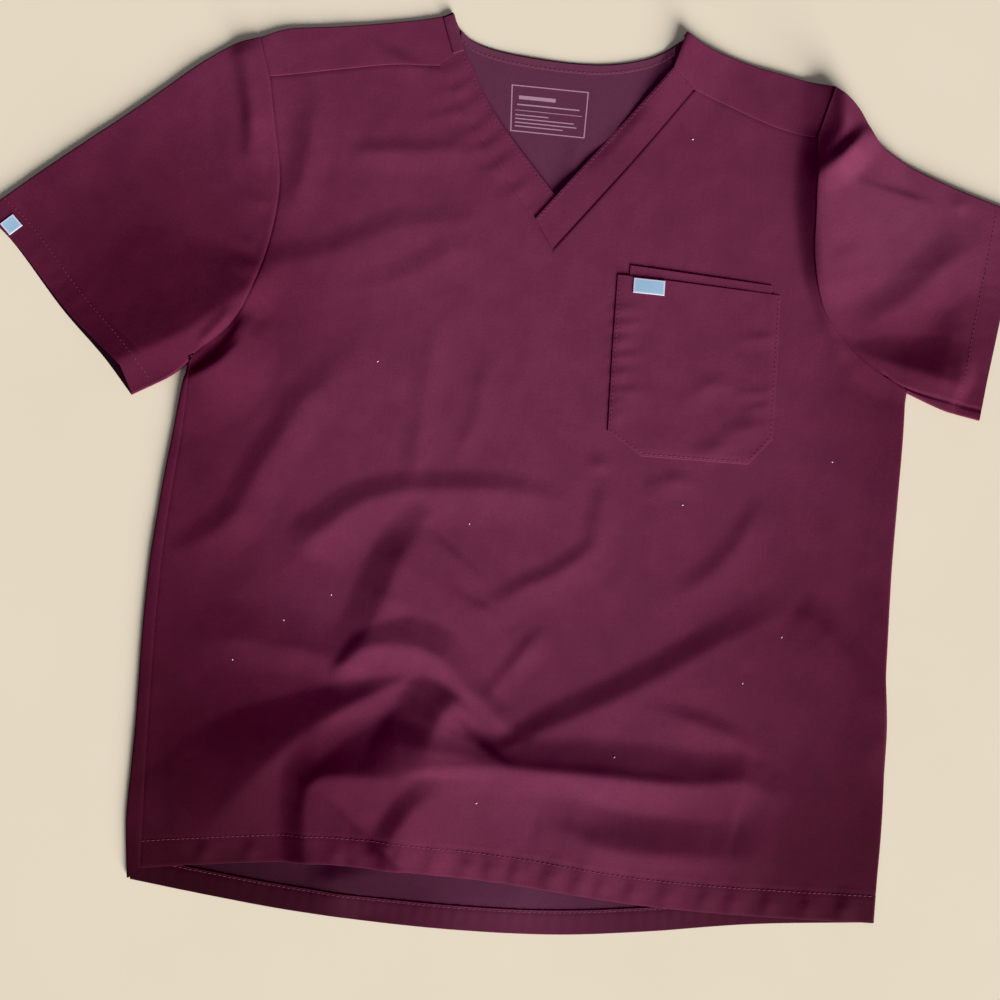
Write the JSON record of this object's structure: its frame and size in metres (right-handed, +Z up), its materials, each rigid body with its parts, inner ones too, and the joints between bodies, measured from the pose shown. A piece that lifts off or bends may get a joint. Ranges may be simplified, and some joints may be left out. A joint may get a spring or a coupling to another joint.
{
  "type": "scrub top",
  "caption": "Short-sleeved V-neck scrub top with a lapped neckband, shoulder yokes and a layered chest patch pocket, laid flat and face up.",
  "frame": {"origin": "centre of the garment's bounding box in plan, on the surface that it lies on", "axes": "+Z up out of the cloth, +Y along the body towards the neck, +X across the chest towards the pocket's side"},
  "size_m": [0.9621, 0.8419, 0.0184],
  "materials": {
    "cloth": "wine red brushed twill",
    "tape": "wine red self-fabric tape",
    "tag": "pale blue woven ribbon"
  },
  "bodies": {
    "root": {"back": "cloth", "front": "cloth", "yoke_left": "cloth", "yoke_right": "cloth", "neckband_left": "cloth", "neckband_right": "cloth", "neck_tape": "tape", "sleeve_left": "cloth", "sleeve_right": "cloth", "pocket_outer": "cloth", "pocket_inner": "cloth", "label_pocket": "tag", "label_sleeve": "tag"}
  },
  "joints": []
}
